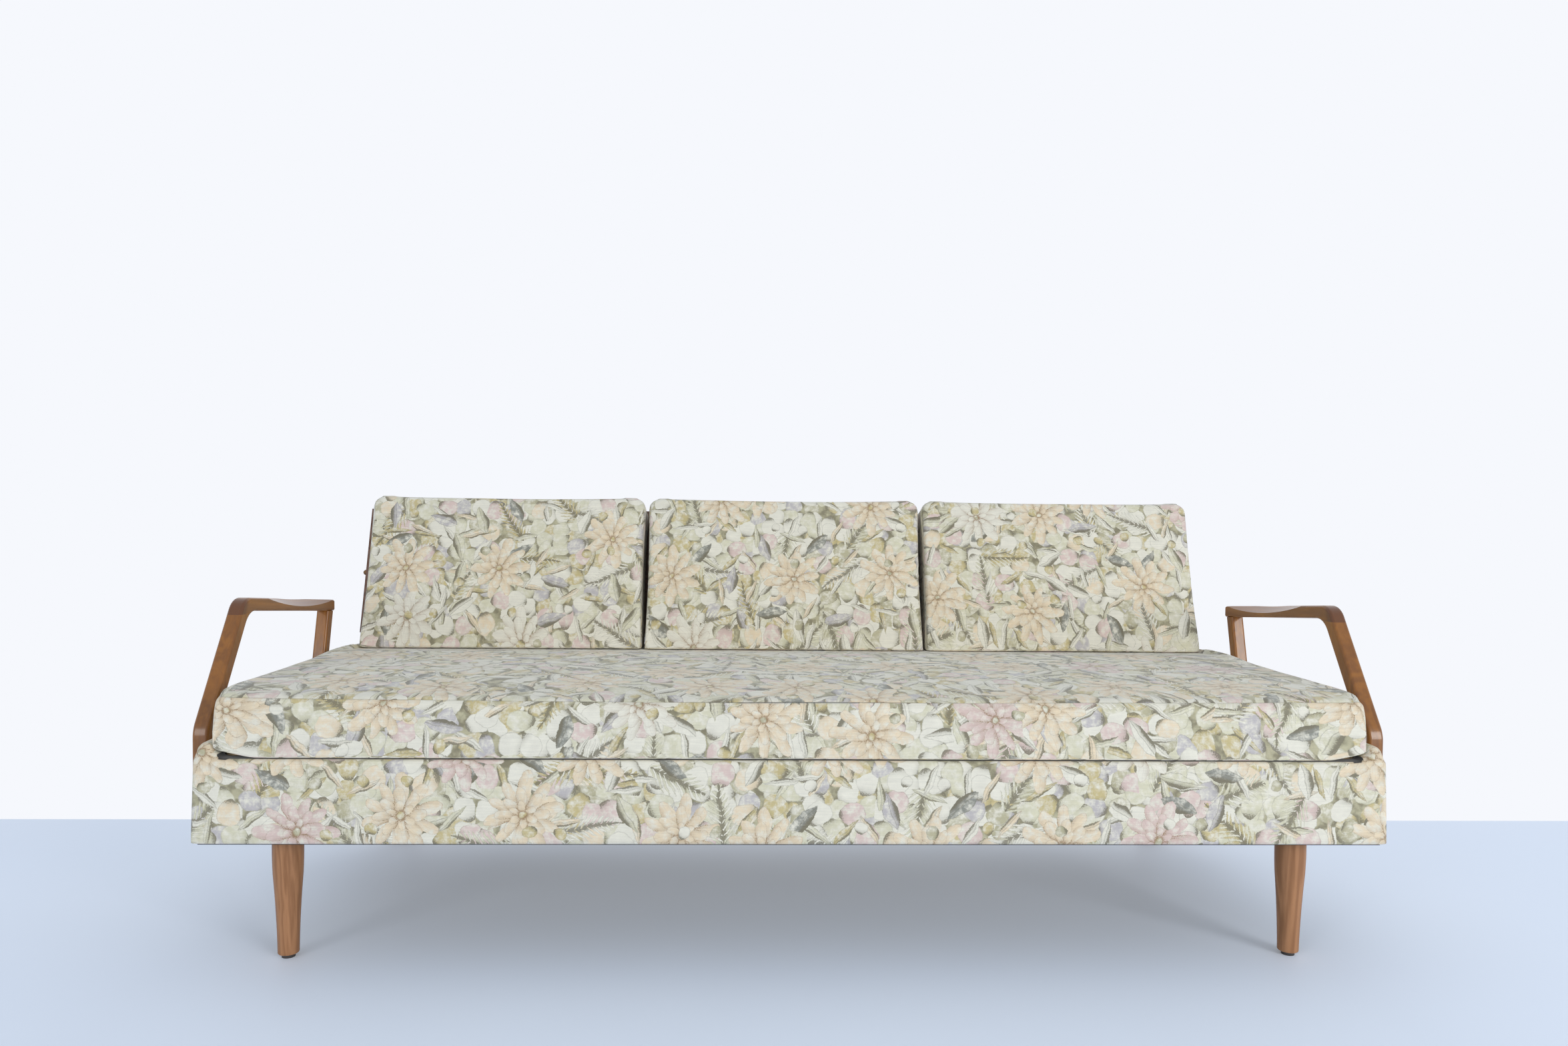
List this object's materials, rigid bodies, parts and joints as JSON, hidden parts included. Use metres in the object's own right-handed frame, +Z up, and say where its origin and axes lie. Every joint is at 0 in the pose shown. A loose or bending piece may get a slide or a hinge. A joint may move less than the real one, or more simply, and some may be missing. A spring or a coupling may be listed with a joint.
{
  "type": "daybed sofa",
  "caption": "Daybed sofa: printed cloth box base on turned legs, loose seat mattress, loose back cushions on a tilting wooden back, and open sculpted wooden arms.",
  "frame": {"origin": "on the floor, at the middle of the overall width and depth", "axes": "+X along the sofa to the right arm as seen from the front, +Y to the back, +Z up"},
  "size_m": [1.952, 0.8444, 0.7706],
  "materials": {
    "upholstery_cloth": "printed woven cotton, pale botanical print",
    "arm_wood": "satin oiled hardwood",
    "leg_wood": "satin turned hardwood",
    "back_wood": "stained wood",
    "frame_wood": "planed softwood",
    "plain_steel": "zinc plated",
    "bronzed_steel": "bronzed",
    "glide_plastic": "matte",
    "dust_cloth": "thin non-woven"
  },
  "bodies": {
    "base": {"arm_bolts": "plain_steel", "arm_dowels": "frame_wood", "centre_beam": "frame_wood", "corner_blocks": "frame_wood", "dust_cover": "dust_cloth", "foot_glides": "glide_plastic", "front_cover": "upholstery_cloth", "front_rail": "frame_wood", "front_slat_ledge": "frame_wood", "left_arm_front_post": "arm_wood", "left_arm_rear_post": "arm_wood", "left_armrest": "arm_wood", "left_back_upright": "back_wood", "left_front_leg": "leg_wood", "left_rear_leg": "leg_wood", "left_side_cover": "upholstery_cloth", "left_side_rail": "frame_wood", "leg_plates": "plain_steel", "leg_studs": "plain_steel", "pivot_bolts": "bronzed_steel", "plate_screws": "plain_steel", "rear_cover": "upholstery_cloth", "rear_rail": "frame_wood", "rear_slat_ledge": "frame_wood", "right_arm_front_post": "arm_wood", "right_arm_rear_post": "arm_wood", "right_armrest": "arm_wood", "right_back_upright": "back_wood", "right_front_leg": "leg_wood", "right_rear_leg": "leg_wood", "right_side_cover": "upholstery_cloth", "right_side_rail": "frame_wood", "seat_slats": "frame_wood", "upright_bolts": "plain_steel"},
    "back": {"back_bottom_rail": "back_wood", "back_panel": "back_wood", "back_top_rail": "back_wood", "left_back_stile": "back_wood", "panel_screws": "plain_steel", "right_back_stile": "back_wood"},
    "left_cushion": {"back_cushion_left": "upholstery_cloth"},
    "centre_cushion": {"back_cushion_centre": "upholstery_cloth"},
    "right_cushion": {"back_cushion_right": "upholstery_cloth"},
    "mattress": {"seat_mattress": "upholstery_cloth"}
  },
  "joints": [
    {"name": "back_tilt", "type": "hinge", "parent": "base", "child": "back", "pos_m": [0, 0.36182, 0.594], "axis": [-1, 0, 0], "range_deg": [0, 12]},
    {"name": "mattress_slide", "type": "slide", "parent": "base", "child": "mattress", "axis": [0, -1, 0], "range_m": [0, 0.2]},
    {"name": "left_cushion_lift", "type": "slide", "parent": "back", "child": "left_cushion", "axis": [0, 0.284, 0.9588], "range_m": [0, 0.4]},
    {"name": "centre_cushion_lift", "type": "slide", "parent": "back", "child": "centre_cushion", "axis": [0, 0.284, 0.9588], "range_m": [0, 0.4]},
    {"name": "right_cushion_lift", "type": "slide", "parent": "back", "child": "right_cushion", "axis": [0, 0.284, 0.9588], "range_m": [0, 0.4]}
  ]
}
